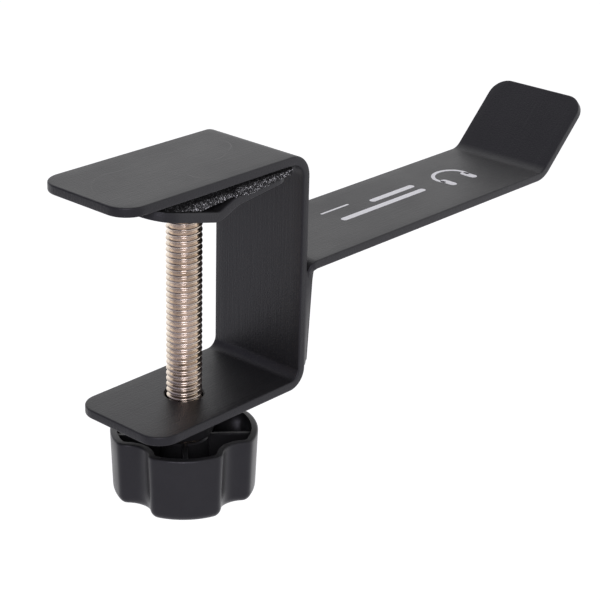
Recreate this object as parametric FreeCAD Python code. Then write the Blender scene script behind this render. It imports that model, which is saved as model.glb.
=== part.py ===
"""Desk-clamp headphone hook: a bent steel clamp bracket, a welded hook arm and a screw with a plastic knob.

Millimetres, +Z up. +X points from the clamp towards the hook's lip, and Y is across the steel strip.
The origin is on the underside of the arm pad, which rests on the desk top, on the clamp screw's axis.
"""
import math
import os

import FreeCAD
import Part

V = FreeCAD.Vector

# Steel strip of the bracket and of the slightly wider hook arm
STRIP_WIDTH = 40.0
HOOK_WIDTH = 42.0
STEEL = 3.2
CORNER_RADIUS = 8.0          # rounded corners of every free end, seen from above
EDGE_ROUND = 0.7             # deburred long edges

# Clamp bracket
PAD_THICKNESS = 3.8
BACK_X = 37.9                # outer face of the back plate
ARM_LENGTH = 81.6            # top arm, from the outer back face
FOOT_LENGTH = 68.6           # bottom arm, from the outer back face
BRACKET_HEIGHT = 84.1
TOP_BEND = 8.4               # outer radius of the upper bend
BOTTOM_BEND = 7.0            # outer radius of the lower bend

# Hook arm
HOOK_DROP = 38.95            # top of the hook below the top of the bracket
HOOK_REACH = 133.5           # outer back face to the corner of the lip
LIP_ANGLE = 44.0             # degrees above level
LIP_LENGTH = 34.5
LIP_BEND = 7.0               # radius on the upper side of the lip's bend
HOOK_BEND = 4.0              # outer radius of the bend into the flange
FLANGE_END = -70.1           # lower end of the flange
FLANGE_SHOULDER = 19.9       # half width of the flange just below the bend
FLANGE_SHOULDER_Z = -37.5
FLANGE_TIP = 18.1            # half width at the lower end
FLANGE_CORNER = 1.5

# Screw, nut and knob
SCREW_RADIUS = 6.0
RUNNING_GAP = 0.05           # radial clearance of turning pieces
SPIGOT_RADIUS = 3.0
NUT_ACROSS_FLATS = 19.0
NUT_HEIGHT = 10.4
KNOB_RADIUS = 24.9
KNOB_SCALLOP = 7.5           # radius of the hollow between two lobes
KNOB_VALLEY = 20.7           # least radius, at the bottom of a hollow
KNOB_SHOULDER = 4.0          # rounding from a lobe into a hollow
KNOB_PHASE = 47.0            # direction of the first lobe, degrees
KNOB_LOBES = 4
KNOB_TOP = -86.65
KNOB_HEIGHT = 23.5
KNOB_WALL = 2.2
KNOB_FLOOR = 3.0
KNOB_LOWER_EDGE = 2.6        # rounding of the knob's closed end
KNOB_RIM_EDGE = 0.8
BOSS_RADIUS = 8.4
RIB_THICKNESS = 1.8
RIB_DROP = 2.4               # tops of boss and ribs below the rim
HEAD_ACROSS_FLATS = 15.0     # hexagon head of the screw, held in the knob
HEAD_HEIGHT = 5.0
CAP_RADIUS = 11.0
CAP_THICKNESS = 1.6

# Pressure plate and pad
PLATE_STEEL = 3.4
PLATE_FREE_TIP = (-29.6, 3.0)     # (x, z) of the upper side at the end below the arm's free end
PLATE_FOLD = (-4.1, -3.3)
PLATE_KNEE = (4.1, 0.05)
PLATE_BACK_TIP = (28.2, 2.9)
FOLD_RADIUS = 3.0            # on the upper side
KNEE_RADIUS = 12.0           # on the upper side
PLATE_FREE_CORNER = 9.0      # rounded corners of the plate's two ends, seen from above; they let it
PLATE_BACK_CORNER = 5.0      # swivel past the inside of the upper bend
PLATE_HOLE = 3.4
SINK_DEPTH = 1.4             # countersink for the screw's peened end, below the fold's top
PEEN_GAP = 0.14
WASHER_THICKNESS = 1.0
PAD_FREE_END = -27.0
PAD_BACK_END = 29.4
PAD_HALF_WIDTH = 19.5
PAD_GAP = 0.1                # air left between the pad's crushed ends and the plate

TOP_Z = PAD_THICKNESS + STEEL
ARM_UNDER = PAD_THICKNESS
FOOT_BOTTOM = TOP_Z - BRACKET_HEIGHT
HOOK_TOP = TOP_Z - HOOK_DROP
NUT_BOTTOM = FOOT_BOTTOM - NUT_HEIGHT
KNOB_BOTTOM = KNOB_TOP - KNOB_HEIGHT
BOSS_TOP = KNOB_TOP - RIB_DROP
FALL = math.atan2(PLATE_FOLD[1] - PLATE_FREE_TIP[1], PLATE_FOLD[0] - PLATE_FREE_TIP[0])
RISE = math.atan2(PLATE_KNEE[1] - PLATE_FOLD[1], PLATE_KNEE[0] - PLATE_FOLD[0])
FOLD_CENTRE_Z = PLATE_FOLD[1] + FOLD_RADIUS * math.cos((RISE + FALL) / 2) / math.cos((RISE - FALL) / 2)
PLATE_LOWEST = FOLD_CENTRE_Z - FOLD_RADIUS - PLATE_STEEL
SINK_BOTTOM = PLATE_FOLD[1] - SINK_DEPTH
WASHER_TOP = PLATE_LOWEST - RUNNING_GAP
SHOULDER_Z = WASHER_TOP - WASHER_THICKNESS - RUNNING_GAP


def turned(vector, degrees):
    """A flat (x, z) vector turned anticlockwise."""
    x, z = vector
    a = math.radians(degrees)
    return (x * math.cos(a) - z * math.sin(a), x * math.sin(a) + z * math.cos(a))


def unit(a, b):
    """Unit direction from point a to point b, both (x, z)."""
    dx = b[0] - a[0]
    dz = b[1] - a[1]
    length = math.hypot(dx, dz)
    return (dx / length, dz / length)


def shifted(point, direction, distance):
    return (point[0] + direction[0] * distance, point[1] + direction[1] * distance)


def in_section(point, y=0.0):
    """A section point (x, z) as a vector in the plane at y."""
    return V(point[0], y, point[1])


def bent_path(corners, radii, offset):
    """Edges of a bent line: straight runs joined by tangent arcs, moved by offset to its right.

    radii holds the arc radius of each inner corner on the line that isn't moved.
    """
    edges = []
    last = shifted(corners[0], turned(unit(corners[0], corners[1]), -90), offset)
    for i, radius in enumerate(radii, start=1):
        before = unit(corners[i - 1], corners[i])
        after = unit(corners[i], corners[i + 1])
        cross = before[0] * after[1] - before[1] * after[0]
        along = before[0] * after[0] + before[1] * after[1]
        turn = math.atan2(cross, along)
        side = 1.0 if turn > 0 else -1.0
        tangent = radius * math.tan(abs(turn) / 2)
        start = shifted(corners[i], before, -tangent)
        centre = shifted(start, turned(before, 90 * side), radius)
        arc_radius = radius + offset * side
        first = shifted(centre, turned(before, -90 * side), arc_radius)
        middle = shifted(centre, turned(turned(before, -90 * side), math.degrees(turn) / 2), arc_radius)
        final = shifted(centre, turned(after, -90 * side), arc_radius)
        edges.append(Part.LineSegment(in_section(last), in_section(first)).toShape())
        edges.append(Part.Arc(in_section(first), in_section(middle), in_section(final)).toShape())
        last = final
    end = shifted(corners[-1], turned(unit(corners[-2], corners[-1]), -90), offset)
    edges.append(Part.LineSegment(in_section(last), in_section(end)).toShape())
    return edges


def bent_strip(corners, radii, thickness, half_width):
    """A flat strip bent in the XZ plane, with its thickness to the right of the path."""
    left = bent_path(corners, radii, 0.0)
    right = bent_path(corners, radii, thickness)
    first_end = Part.LineSegment(left[0].Vertexes[0].Point, right[0].Vertexes[0].Point).toShape()
    last_end = Part.LineSegment(left[-1].Vertexes[1].Point, right[-1].Vertexes[1].Point).toShape()
    wire = Part.Wire(Part.__sortEdges__(left + right + [first_end, last_end]))
    section = Part.Face(wire)
    section.translate(V(0, -half_width, 0))
    return section.extrude(V(0, 2 * half_width, 0))


def is_end_corner(edge, ends, half_width):
    """True for a short straight edge at a strip's free end, through its thickness."""
    a = edge.Vertexes[0].Point
    b = edge.Vertexes[-1].Point
    if abs(a.y - b.y) > 1e-6 or abs(abs(a.y) - half_width) > 1e-6:
        return False
    middle = (a + b) * 0.5
    return any(math.hypot(middle.x - x, middle.z - z) < STEEL for x, z in ends)


def round_corners(strip, ends, half_width, radius):
    edges = [e for e in strip.Edges if is_end_corner(e, ends, half_width)]
    edges = [e for e in edges if e.Length < 2 * STEEL]
    return strip.makeFillet(radius, edges)


def round_long_edges(strip, half_width, radius):
    """Round every edge between the strip's two broad faces and its narrow rim."""
    def on_rim(edge):
        length = edge.Length
        lies_across = abs(edge.Vertexes[0].Point.y - edge.Vertexes[-1].Point.y) > 1e-6
        straight_side = all(abs(abs(v.Point.y) - half_width) < 1e-6 for v in edge.Vertexes)
        if straight_side and not lies_across:
            return length > 1.2 * PLATE_STEEL
        return False
    edges = [e for e in strip.Edges if on_rim(e)]
    return strip.makeFillet(radius, edges)


def clamp_bracket():
    path = [(BACK_X - ARM_LENGTH, TOP_Z), (BACK_X, TOP_Z),
            (BACK_X, FOOT_BOTTOM), (BACK_X - FOOT_LENGTH, FOOT_BOTTOM)]
    half = STRIP_WIDTH / 2
    strip = bent_strip(path, [TOP_BEND, BOTTOM_BEND], STEEL, half)
    ends = [(path[0][0], TOP_Z - STEEL / 2), (path[3][0], FOOT_BOTTOM + STEEL / 2)]
    strip = round_corners(strip, ends, half, CORNER_RADIUS)
    strip = round_long_edges(strip, half, EDGE_ROUND)
    bore = Part.makeCylinder(SCREW_RADIUS + 0.5, 3 * STEEL, V(0, 0, FOOT_BOTTOM - STEEL))
    return strip.cut(bore)


def hook_path():
    lip = turned((1.0, 0.0), LIP_ANGLE)
    corner = (BACK_X + HOOK_REACH, HOOK_TOP)
    return [(BACK_X, FLANGE_END), (BACK_X, HOOK_TOP), corner, shifted(corner, lip, LIP_LENGTH)]


def flange_half_width(z):
    """Half width of the flange, which tapers from its shoulder to its lower end."""
    share = (FLANGE_SHOULDER_Z - z) / (FLANGE_SHOULDER_Z - FLANGE_END)
    return FLANGE_SHOULDER + (FLANGE_TIP - FLANGE_SHOULDER) * share


def flange_surroundings():
    """Everything outside the flange's tapered outline, for cutting the strip to shape."""
    top = HOOK_TOP - 1.0
    left = BACK_X - 5.0
    half = HOOK_WIDTH / 2
    side = [(half, top), (FLANGE_SHOULDER, FLANGE_SHOULDER_Z), (FLANGE_TIP, FLANGE_END)]
    outline = side + [(-y, z) for y, z in reversed(side)]
    wire = Part.makePolygon([V(left, y, z) for y, z in outline + outline[:1]])
    inside = Part.Face(wire).extrude(V(STEEL + 12.0, 0, 0))
    corners = [e for e in inside.Edges if abs(e.Vertexes[0].Point.z - FLANGE_END) < 1e-6
               and abs(e.Vertexes[-1].Point.z - FLANGE_END) < 1e-6 and abs(e.BoundBox.XLength) > 1.0]
    inside = inside.makeFillet(FLANGE_CORNER, corners)
    around = Part.makeBox(STEEL + 12.0, 2 * half + 10.0, top - FLANGE_END + 5.0,
                          V(left, -half - 5.0, FLANGE_END - 5.0))
    return around.cut(inside)


def hook_arm():
    path = hook_path()
    half = HOOK_WIDTH / 2
    strip = bent_strip(path, [HOOK_BEND, LIP_BEND], STEEL, half)
    lip_normal = turned((1.0, 0.0), LIP_ANGLE - 90)
    strip = round_corners(strip, [shifted(path[3], lip_normal, STEEL / 2)], half, CORNER_RADIUS)
    strip = round_long_edges(strip, half, EDGE_ROUND)
    return strip.cut(flange_surroundings())


def side_fillet(side):
    """A ground weld that fills the step between the back plate's rim and the flange's side."""
    sections = []
    for z in (FLANGE_SHOULDER_Z - 4.0, FLANGE_END + FLANGE_CORNER):
        inner = flange_half_width(z) * side
        outer = (STRIP_WIDTH / 2 - 0.05) * side
        lip = V(BACK_X + STEEL - EDGE_ROUND, inner, z)
        root = V(BACK_X, inner, z)
        sections.append(Part.makePolygon([root, V(BACK_X, outer, z), lip, root]))
    return Part.makeLoft(sections, True, True)


def flange_welds():
    """Welds that join the flange to the back plate: in the groove above it, below it and along both sides."""
    centre_x = BACK_X + HOOK_BEND
    centre_z = HOOK_TOP - HOOK_BEND
    groove_z = HOOK_TOP - 1.2
    arc_x = centre_x - math.sqrt(HOOK_BEND ** 2 - (groove_z - centre_z) ** 2)
    half_turn = math.radians(180) - math.atan2(groove_z - centre_z, centre_x - arc_x) / 2
    middle = (centre_x + HOOK_BEND * math.cos(half_turn), centre_z + HOOK_BEND * math.sin(half_turn))
    groove_end = in_section((arc_x, groove_z))
    groove = Part.Wire([
        Part.LineSegment(in_section((BACK_X, centre_z)), in_section((BACK_X, groove_z))).toShape(),
        Part.LineSegment(in_section((BACK_X, groove_z)), groove_end).toShape(),
        Part.Arc(groove_end, in_section(middle), in_section((BACK_X, centre_z))).toShape()])
    top_half = STRIP_WIDTH / 2 - 1.5
    top_bead = Part.Face(groove)
    top_bead.translate(V(0, -top_half, 0))
    top_bead = top_bead.extrude(V(0, 2 * top_half, 0))
    leg = 2.0
    hollow = 0.42 * leg
    bottom_half = FLANGE_TIP - FLANGE_CORNER - 1.0
    root = in_section((BACK_X, FLANGE_END))
    front = in_section((BACK_X + leg, FLANGE_END))
    low = in_section((BACK_X, FLANGE_END - leg))
    toe = Part.Wire([
        Part.LineSegment(root, front).toShape(),
        Part.Arc(front, in_section((BACK_X + hollow, FLANGE_END - hollow)), low).toShape(),
        Part.LineSegment(low, root).toShape()])
    bottom_bead = Part.Face(toe)
    bottom_bead.translate(V(0, -bottom_half, 0))
    bottom_bead = bottom_bead.extrude(V(0, 2 * bottom_half, 0))
    return Part.makeCompound([top_bead, bottom_bead, side_fillet(1.0), side_fillet(-1.0)])


def hexagon(across_flats, height, bottom, first_corner):
    """A hexagonal prism on the screw's axis; first_corner is the direction of one corner in degrees."""
    radius = across_flats / math.sqrt(3)
    angles = [math.radians(first_corner + 60 * i) for i in range(7)]
    wire = Part.makePolygon([V(radius * math.cos(a), radius * math.sin(a), bottom) for a in angles])
    return Part.Face(wire).extrude(V(0, 0, height))


def weld_nut():
    """Hexagon nut with chamfered lower corners, bored to run on the screw."""
    nut = hexagon(NUT_ACROSS_FLATS, NUT_HEIGHT, NUT_BOTTOM, 90)
    flat = NUT_ACROSS_FLATS / 2
    wide = NUT_ACROSS_FLATS / math.sqrt(3) + 10.0
    rise = (wide - flat) * math.tan(math.radians(30))
    cone = Part.makeCone(flat, wide, rise, V(0, 0, NUT_BOTTOM))
    upper = Part.makeCylinder(wide, NUT_HEIGHT + 20.0, V(0, 0, NUT_BOTTOM + rise))
    nut = nut.common(cone.fuse(upper))
    bore = Part.makeCylinder(SCREW_RADIUS + RUNNING_GAP, NUT_HEIGHT + 2, V(0, 0, NUT_BOTTOM - 1))
    return nut.cut(bore)


def nut_welds():
    """Three tack welds in the corner between the nut's flats and the bottom arm."""
    tacks = []
    leg = 2.2
    face = NUT_ACROSS_FLATS / 2
    for direction in (0, 120, 240):
        wire = Part.makePolygon([V(face, 0, FOOT_BOTTOM), V(face + leg, 0, FOOT_BOTTOM),
                                 V(face, 0, FOOT_BOTTOM - leg), V(face, 0, FOOT_BOTTOM)])
        tack = Part.Face(wire)
        tack.translate(V(0, -3.0, 0))
        tack = tack.extrude(V(0, 6.0, 0))
        tack.rotate(V(0, 0, 0), V(0, 0, 1), direction)
        tacks.append(tack)
    return Part.makeCompound(tacks)


def plate_top(x):
    """Height of the pressure plate's upper side, without the rounding of its bends."""
    corners = [PLATE_FREE_TIP, PLATE_FOLD, PLATE_KNEE, PLATE_BACK_TIP]
    for start, end in zip(corners, corners[1:]):
        if x <= end[0] or end == PLATE_BACK_TIP:
            return start[1] + (x - start[0]) * (end[1] - start[1]) / (end[0] - start[0])


def pressure_plate():
    """Gull-wing plate, folded down beside a countersunk hole for the screw's end."""
    half = STRIP_WIDTH / 2
    path = [PLATE_FREE_TIP, PLATE_FOLD, PLATE_KNEE, PLATE_BACK_TIP]
    strip = bent_strip(path, [FOLD_RADIUS, KNEE_RADIUS], PLATE_STEEL, half)
    for (x, z), radius in ((PLATE_FREE_TIP, PLATE_FREE_CORNER), (PLATE_BACK_TIP, PLATE_BACK_CORNER)):
        strip = round_corners(strip, [(x, z - PLATE_STEEL / 2)], half, radius)
    strip = round_long_edges(strip, half, EDGE_ROUND)
    hole = Part.makeCylinder(PLATE_HOLE, 20.0, V(0, 0, SINK_BOTTOM - 10))
    sink = Part.makeCone(PLATE_HOLE, PLATE_HOLE + 7.0, 7.0, V(0, 0, SINK_BOTTOM))
    return strip.cut(hole).cut(sink)


def arm_pad():
    """Foam pad under the top arm: flat in the middle, crushed towards both ends by the plate's wings."""
    fall = (PLATE_FREE_TIP[1] - PLATE_FOLD[1]) / (PLATE_FREE_TIP[0] - PLATE_FOLD[0])
    level_start = PLATE_FOLD[0] - (PLATE_FOLD[1] + PAD_GAP) / fall
    climb = (PLATE_KNEE[1] - PLATE_FOLD[1]) / (PLATE_KNEE[0] - PLATE_FOLD[0])
    level_end = PLATE_FOLD[0] - (PLATE_FOLD[1] + PAD_GAP) / climb
    points = [(PAD_FREE_END, ARM_UNDER), (PAD_FREE_END, plate_top(PAD_FREE_END) + PAD_GAP),
              (level_start, 0.0), (level_end, 0.0), (PLATE_KNEE[0], PLATE_KNEE[1] + PAD_GAP),
              (PAD_BACK_END, plate_top(PAD_BACK_END) + PAD_GAP), (PAD_BACK_END, ARM_UNDER)]
    wire = Part.makePolygon([in_section(p, -PAD_HALF_WIDTH) for p in points + points[:1]])
    return Part.Face(wire).extrude(V(0, 2 * PAD_HALF_WIDTH, 0))


def thrust_washer():
    ring = Part.makeCylinder(SCREW_RADIUS - 0.2, WASHER_THICKNESS, V(0, 0, WASHER_TOP - WASHER_THICKNESS))
    hole = Part.makeCylinder(SPIGOT_RADIUS + RUNNING_GAP, 3 * WASHER_THICKNESS,
                             V(0, 0, WASHER_TOP - 2 * WASHER_THICKNESS))
    return ring.cut(hole)


def clamp_screw():
    """Threaded spindle (plain at the thread's outside diameter), peened spigot on top, hexagon head below."""
    head_top = KNOB_BOTTOM + CAP_THICKNESS + HEAD_HEIGHT
    shank = Part.makeCylinder(SCREW_RADIUS, SHOULDER_Z - head_top, V(0, 0, head_top))
    shank = shank.makeChamfer(0.6, [e for e in shank.Edges if abs(e.BoundBox.ZMin - SHOULDER_Z) < 1e-6
                                    and abs(e.BoundBox.ZMax - SHOULDER_Z) < 1e-6])
    head = hexagon(HEAD_ACROSS_FLATS, HEAD_HEIGHT, head_top - HEAD_HEIGHT, 0)
    peen_bottom = SINK_BOTTOM + PEEN_GAP - (PLATE_HOLE - SPIGOT_RADIUS)
    spigot = Part.makeCylinder(SPIGOT_RADIUS, peen_bottom - SHOULDER_Z, V(0, 0, SHOULDER_Z))
    peen = Part.makeCone(SPIGOT_RADIUS, SPIGOT_RADIUS + SINK_DEPTH, SINK_DEPTH, V(0, 0, peen_bottom))
    return shank.fuse([head, spigot, peen]).removeSplitter()


def lobed_outline(inset, z):
    """The knob's outline moved inwards by inset: circular lobes joined by hollows, with rounded shoulders."""
    lobe = KNOB_RADIUS - inset
    hollow = KNOB_SCALLOP + inset
    hollow_centre = KNOB_VALLEY + KNOB_SCALLOP
    shoulder = max(KNOB_SHOULDER - inset, 0.4)
    inner = lobe - shoulder
    outer = hollow + shoulder
    share = (inner ** 2 + hollow_centre ** 2 - outer ** 2) / (2 * inner * hollow_centre)
    shoulder_angle = math.acos(share)
    step = 2 * math.pi / KNOB_LOBES
    edges = []

    def polar(radius, angle):
        return V(radius * math.cos(angle), radius * math.sin(angle), z)

    for k in range(KNOB_LOBES):
        middle = math.radians(KNOB_PHASE) + k * step
        valley = middle + step / 2
        next_middle = middle + step
        hollow_point = polar(hollow_centre, valley)
        left_shoulder = polar(inner, valley - shoulder_angle)
        right_shoulder = polar(inner, valley + shoulder_angle)
        lobe_end = polar(lobe, valley - shoulder_angle)
        next_start = polar(lobe, valley + shoulder_angle)
        lobe_start = polar(lobe, middle - step / 2 + shoulder_angle)

        def towards(start, target, distance):
            return start + (target - start).normalize() * distance
        fall = towards(left_shoulder, hollow_point, shoulder)
        climb = towards(right_shoulder, hollow_point, shoulder)
        left_bulge = towards(left_shoulder, (lobe_end + fall) * 0.5, shoulder)
        right_bulge = towards(right_shoulder, (next_start + climb) * 0.5, shoulder)
        deepest = polar(hollow_centre - hollow, valley)
        edges.append(Part.Arc(lobe_start, polar(lobe, middle), lobe_end).toShape())
        edges.append(Part.Arc(lobe_end, left_bulge, fall).toShape())
        edges.append(Part.Arc(fall, deepest, climb).toShape())
        edges.append(Part.Arc(climb, right_bulge, next_start).toShape())
    return Part.Face(Part.Wire(edges))


def knob_body():
    def level_edges(shape, z):
        return [e for e in shape.Edges if e.BoundBox.ZLength < 1e-6 and abs(e.BoundBox.ZMin - z) < 1e-6]
    outer = lobed_outline(0.0, KNOB_BOTTOM).extrude(V(0, 0, KNOB_HEIGHT))
    outer = outer.makeFillet(KNOB_LOWER_EDGE, level_edges(outer, KNOB_BOTTOM))
    outer = outer.makeFillet(KNOB_RIM_EDGE, level_edges(outer, KNOB_TOP))
    hollow = lobed_outline(KNOB_WALL, KNOB_BOTTOM + KNOB_FLOOR).extrude(V(0, 0, KNOB_HEIGHT))
    body = outer.cut(hollow)
    web_height = BOSS_TOP - KNOB_BOTTOM - KNOB_FLOOR / 2
    web_bottom = KNOB_BOTTOM + KNOB_FLOOR / 2
    webs = [Part.makeCylinder(BOSS_RADIUS, web_height, V(0, 0, web_bottom))]
    for k in range(KNOB_LOBES):
        rib = Part.makeBox(KNOB_RADIUS - KNOB_WALL / 2, RIB_THICKNESS, web_height,
                           V(0, -RIB_THICKNESS / 2, web_bottom))
        rib.rotate(V(0, 0, 0), V(0, 0, 1), KNOB_PHASE + 360 / KNOB_LOBES * k)
        webs.append(rib)
    body = body.fuse(webs)
    head_top = KNOB_BOTTOM + CAP_THICKNESS + HEAD_HEIGHT
    body = body.cut(Part.makeCylinder(SCREW_RADIUS, KNOB_HEIGHT, V(0, 0, head_top)))
    body = body.cut(hexagon(HEAD_ACROSS_FLATS, HEAD_HEIGHT, head_top - HEAD_HEIGHT, 0))
    body = body.cut(Part.makeCylinder(CAP_RADIUS, CAP_THICKNESS, V(0, 0, KNOB_BOTTOM)))
    return body.removeSplitter()


def knob_cap():
    disc = Part.makeCylinder(CAP_RADIUS, CAP_THICKNESS, V(0, 0, KNOB_BOTTOM))
    rim = [e for e in disc.Edges if abs(e.BoundBox.ZMax - KNOB_BOTTOM) < 1e-6]
    return disc.makeFillet(0.5, rim)


NODES = {
    "clamp_bracket": clamp_bracket,
    "hook_arm": hook_arm,
    "flange_welds": flange_welds,
    "weld_nut": weld_nut,
    "nut_welds": nut_welds,
    "arm_pad": arm_pad,
    "pressure_plate": pressure_plate,
    "thrust_washer": thrust_washer,
    "clamp_screw": clamp_screw,
    "knob_body": knob_body,
    "knob_cap": knob_cap,
}

os.makedirs("parts", exist_ok=True)
for name, build in NODES.items():
    shape = build()
    print(name, shape.isValid(), len(shape.Solids), round(shape.Volume, 1))
    shape.exportStep("parts/" + name + ".step")
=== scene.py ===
"""Looks of the desk-clamp headphone hook: powder-coated steel, plated screw, foam pad and moulded knob."""
import math

import bmesh
import bpy
from mathutils import Matrix, Vector, noise


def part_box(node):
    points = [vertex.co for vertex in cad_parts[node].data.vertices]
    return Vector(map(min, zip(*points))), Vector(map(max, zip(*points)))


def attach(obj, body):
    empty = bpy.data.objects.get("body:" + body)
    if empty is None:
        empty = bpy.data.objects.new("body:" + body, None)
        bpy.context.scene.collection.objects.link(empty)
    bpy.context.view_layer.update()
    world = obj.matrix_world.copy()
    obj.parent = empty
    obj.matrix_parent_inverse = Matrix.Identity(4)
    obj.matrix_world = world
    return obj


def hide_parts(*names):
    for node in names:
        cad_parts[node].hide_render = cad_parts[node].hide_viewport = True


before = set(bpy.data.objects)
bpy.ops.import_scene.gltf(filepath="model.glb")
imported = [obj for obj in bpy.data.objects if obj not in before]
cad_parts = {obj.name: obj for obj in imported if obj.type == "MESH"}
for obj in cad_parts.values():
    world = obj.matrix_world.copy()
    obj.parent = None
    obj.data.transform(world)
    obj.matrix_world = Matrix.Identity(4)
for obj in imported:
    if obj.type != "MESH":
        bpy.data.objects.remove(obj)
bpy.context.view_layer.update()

MM = 0.001

# Dimensions in millimetres; those that the CAD parts have too are the same, apart from small roundings

# Strip steel of the bracket and the hook
STRIP_HALF = 20.0  # half width of the bracket
HOOK_HALF = 21.0  # half width of the hook
STEEL = 3.2
CORNER_RADIUS = 8.0  # rounded corners of the free ends, seen from above
EDGE_ROUND = 0.55  # deburred long edges
BACK_X = 37.9  # outer face of the back plate
TOP_Z = 7.0  # upper side of the top arm
ARM_LENGTH = 81.6  # top arm, from the outer back face
FOOT_LENGTH = 68.6  # bottom arm, from the outer back face
BRACKET_HEIGHT = 84.1
FOOT_BOTTOM = TOP_Z - BRACKET_HEIGHT
TOP_BEND = 8.4  # outer radius of the upper bend
BOTTOM_BEND = 7.0  # outer radius of the lower bend

# Hook: flange on the back plate, arm and lip
HOOK_TOP = -31.95  # upper side of the hook's arm
HOOK_REACH = 133.5  # outer back face to the corner of the lip
LIP_ANGLE = 44.0  # degrees above level
LIP_LENGTH = 34.5
LIP_BEND = 7.0  # radius on the upper side of the lip's bend
HOOK_BEND = 4.0  # outer radius of the bend into the flange
FLANGE_END = -70.1  # lower end of the flange
FLANGE_SHOULDER = 19.9  # half width of the flange just below the bend
FLANGE_SHOULDER_Z = -37.5
FLANGE_TIP = 18.1  # half width at the lower end
FLANGE_CORNER = 1.5

# Pressure plate, with the corners of its upper side as (x, z)
PLATE_STEEL = 3.4
PLATE_FREE_TIP = (-29.6, 3.0)  # end below the arm's free end
PLATE_FOLD = (-4.1, -3.3)
PLATE_KNEE = (4.1, 0.05)
PLATE_BACK_TIP = (28.2, 2.9)
FOLD_RADIUS = 3.0  # on the upper side
KNEE_RADIUS = 12.0  # on the upper side
PLATE_FREE_CORNER = 9.0  # rounded corners of its two ends, seen from above
PLATE_BACK_CORNER = 5.0
PLATE_HOLE = 3.4
SINK_DEPTH = 1.4  # countersink for the screw's peened end

# Screw and nut
SCREW_RADIUS = 6.0
THREAD_PITCH = 2.0
THREAD_DEPTH = 1.15
SPIGOT_RADIUS = 3.0
NUT_ACROSS_FLATS = 19.0
NUT_HEIGHT = 10.4

# Knob and its cap
KNOB_RADIUS = 24.9
KNOB_SCALLOP = 7.5  # radius of the hollow between two lobes
KNOB_VALLEY = 20.7  # least radius, at the bottom of a hollow
KNOB_SHOULDER = 4.0  # rounding from a lobe into a hollow
KNOB_PHASE = 47.0  # direction of the first lobe, degrees
KNOB_LOBES = 4
KNOB_TOP = -86.65
KNOB_HEIGHT = 23.5
KNOB_BOTTOM = KNOB_TOP - KNOB_HEIGHT
KNOB_WALL = 2.2
KNOB_FLOOR = 3.0
BOSS_RADIUS = 8.4
RIB_THICKNESS = 1.8
RIB_DROP = 2.4  # tops of boss and ribs below the rim
CAP_RADIUS = 11.0
CAP_THICKNESS = 1.6

# Foam pad
PAD_THICKNESS = 3.8
PAD_FREE_END = -27.0
PAD_BACK_END = 29.4
PAD_HALF_WIDTH = 19.5
PAD_GAP = 0.1  # air between the pad's crushed ends and the plate
PAD_THINNEST = 0.3
PAD_BULGE = 1.5  # how far the pad hangs down beside the plate's fold
PAD_BULGE_START = -15.6
PAD_BULGE_END = 4.4
PAD_RIM_REACH = 0.85  # crushed foam that hangs over the plate's edge: how far it stands out
PAD_RIM_DROP = 1.25  # and how far it hangs down

# Gaps and small roundings
RUNNING_GAP = 0.05  # clearance between the screw and the pieces on it
BRACKET_BORE_GAP = 0.5  # clearance of the screw in the bottom arm
PEEN_GAP = 0.14  # how far the screw's peened end stands clear of the countersink
SEAT_GAP = 0.1  # gap round the knob's cap
SPUN_TOLERANCE = 1e-4  # vertices of a turned piece closer than this are one
STRIP_TOLERANCE = 1e-5  # and those of a bent strip
KNOB_DRAFT = 0.7  # how much narrower the knob is at its closed end
KNOB_FILLET = 3.5  # rounding of the knob's closed end
KNOB_RIM_ROUND = 0.7
KNOB_INNER_ROUND = 0.4

# Print on the hook's upper side
PRINT_MARK = (142.0, 0.6)  # centre of the pictogram
PRINT_BAND = (7.6, 6.4)  # half width and rise of its headband
PRINT_CUP_OFFSET = 6.2
PRINT_RULES = [  # start and end in x, place in y, width
    (78.0, 122.0, -1.4, 2.6),
    (100.0, 122.0, 4.0, 2.6),
    (76.0, 90.0, 7.6, 1.0),
]
INK_LIFT = 0.02  # top of the ink above the steel
INK_THICKNESS = 0.01
INK_END_POINTS = 7  # points on a band's round end, between its corners

# Surfaces
MIX_A = 6  # sockets of a Mix node that mixes colours
MIX_B = 7
MIX_RESULT = 2
SCRATCHES = 0.035  # strength of the faint rub marks along the strip
HAIRLINES = 0.22  # strength of the curved hairline marks on the top arm
COOL_TINT = (0.95, 0.94, 1.0, 1.0)  # reflections in the black coat are slightly blue

# Camera, floor and light: lengths in metres, angles in degrees, lens in millimetres
CAMERA_PLACE = (-0.38107, -0.38933, 0.19284)
CAMERA_AZIMUTH = -48.37
CAMERA_ELEVATION = 23.112
CAMERA_ROLL = 1.511
CAMERA_LENS = 108.57
KEY_PLACE = (-1.05, -0.95, 0.62)
KEY_TARGET = (0.0, 0.0, -0.04)
KEY_SIZE = 0.9
KEY_POWER = 8.0
KEY_COLOUR = (0.93, 0.9, 1.0)
FLOOR_HEIGHT = -0.45
FLOOR_RADIUS = 12.0
FLOOR_NEAR = (0.14, 0.135, 0.165, 1.0)  # light given off by the floor on the near left
FLOOR_FAR = 0.78
WORLD_LEFT = (0.21, 0.20, 0.26, 1.0)
WORLD_CANOPY = (0.30, 0.29, 0.34, 1.0)  # overhead on the near side


# ---------------------------------------------------------------- meshes
def link(name, bm, body, replaces=()):
    """Turn a bmesh in millimetres into a smooth-shaded piece that rides on a body."""
    bmesh.ops.scale(bm, vec=Vector((MM, MM, MM)), verts=bm.verts)
    bmesh.ops.recalc_face_normals(bm, faces=bm.faces)
    mesh = bpy.data.meshes.new(name)
    bm.to_mesh(mesh)
    bm.free()
    mesh.polygons.foreach_set("use_smooth", [True] * len(mesh.polygons))
    piece = bpy.data.objects.new(name, mesh)
    bpy.context.scene.collection.objects.link(piece)
    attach(piece, body)
    if replaces:
        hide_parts(*replaces)
    return piece


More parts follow.
